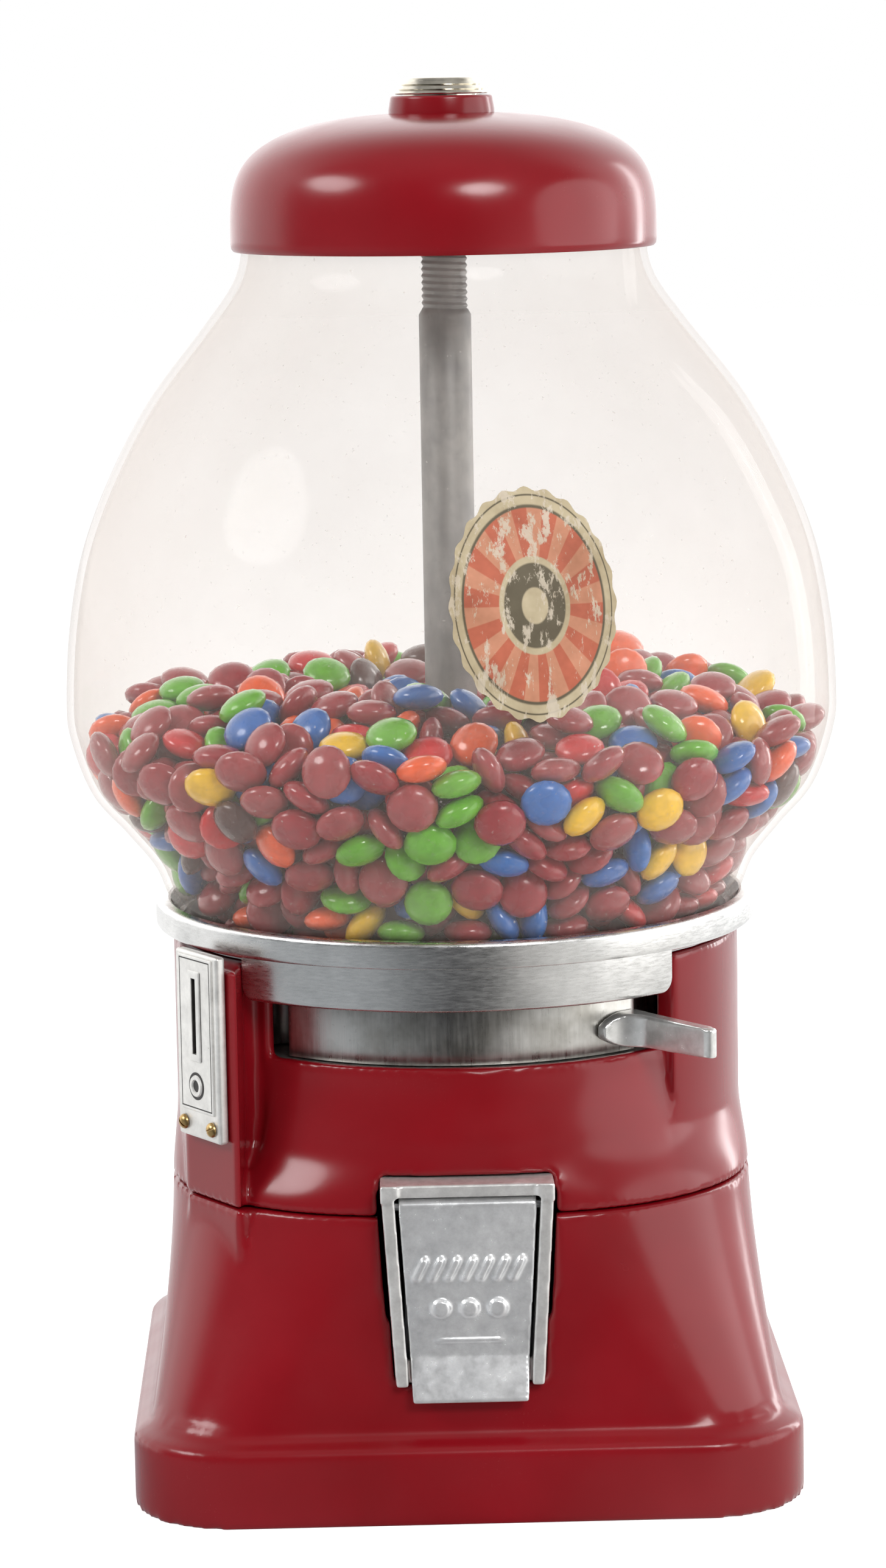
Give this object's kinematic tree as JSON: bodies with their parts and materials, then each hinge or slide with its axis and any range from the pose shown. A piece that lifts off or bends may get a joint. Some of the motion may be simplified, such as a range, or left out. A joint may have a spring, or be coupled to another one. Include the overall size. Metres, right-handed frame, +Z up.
{
  "type": "gumball machine",
  "caption": "Countertop candy machine with a glass globe on a red cast base, a domed lid with a lock nut, a push lever, a coin plate and a lift-up chute flap.",
  "frame": {"origin": "on the centre rod's axis, at the level of the surface that the machine stands on", "axes": "+Z up, -Y towards the customer, +X to the customer's right"},
  "size_m": [0.209, 0.209, 0.3727],
  "materials": {
    "red_enamel": "deep glossy enamel",
    "zinc_sheet": "dull sheet",
    "steel": "machined",
    "dull_steel": "dull, handled",
    "cast_aluminium": "as cast",
    "plate_aluminium": "satin",
    "polished_aluminium": "hand polished",
    "brass": "worn",
    "brush_fibre": "bristle",
    "rubber": "matte",
    "glass": "clear, dusty",
    "candy": "sugar shell",
    "nickel": "polished nickel"
  },
  "bodies": {
    "root": {"lower_base": "red_enamel", "base_plate": "zinc_sheet", "rod_washer": "steel", "rod_nut": "steel", "center_rod": "dull_steel", "upper_body": "red_enamel", "mech_deck": "cast_aluminium", "return_spring": "steel", "pawl_pin": "steel", "coin_plate": "plate_aluminium", "plate_screw_left": "brass", "plate_screw_right": "brass", "coin_guide": "zinc_sheet", "hopper_pan": "zinc_sheet", "brush_holder": "steel", "leveling_brush": "brush_fibre", "collar_ring": "polished_aluminium", "globe_gasket": "rubber", "globe": "glass", "lid_gasket": "rubber", "chute_duct": "zinc_sheet", "chute_frame": "polished_aluminium", "flap_pin": "steel", "candy_heap": "candy"},
    "rotor": {"rotor_wheel": "cast_aluminium", "push_lever": "polished_aluminium"},
    "pawl": {"rotor_pawl": "steel"},
    "flap": {"chute_flap": "polished_aluminium"},
    "lid": {"lid": "red_enamel"},
    "lock": {"lock_nut": "nickel"},
    "key_plug": {"lock_plug": "brass"}
  },
  "joints": [
    {"name": "lever_push", "type": "hinge", "parent": "root", "child": "rotor", "pos_m": [0, 0, 0.125], "axis": [0, 0, -1], "range_deg": [0, 68], "stiffness_Nm_per_rad": 0.12, "springref_deg": -20.05},
    {"name": "pawl_swing", "type": "hinge", "parent": "root", "child": "pawl", "pos_m": [0.04709, 0.04709, 0.1245], "axis": [0, 0, 1], "range_deg": [0, 12], "stiffness_Nm_per_rad": 0.01, "springref_deg": -11.46},
    {"name": "flap_lift", "type": "hinge", "parent": "root", "child": "flap", "pos_m": [0, -0.0816, 0.0836], "axis": [-1, 0, 0], "range_deg": [0, 75]},
    {"name": "lid_lift", "type": "slide", "parent": "root", "child": "lid", "axis": [0, 0, 1], "range_m": [0, 0.08]},
    {"name": "lock_nut_turn", "type": "hinge", "parent": "lid", "child": "lock", "pos_m": [0, 0, 0.37], "axis": [0, 0, 1], "continuous": true},
    {"name": "key_turn", "type": "hinge", "parent": "lock", "child": "key_plug", "pos_m": [0, 0, 0.37], "axis": [0, 0, 1], "range_deg": [0, 90]}
  ]
}
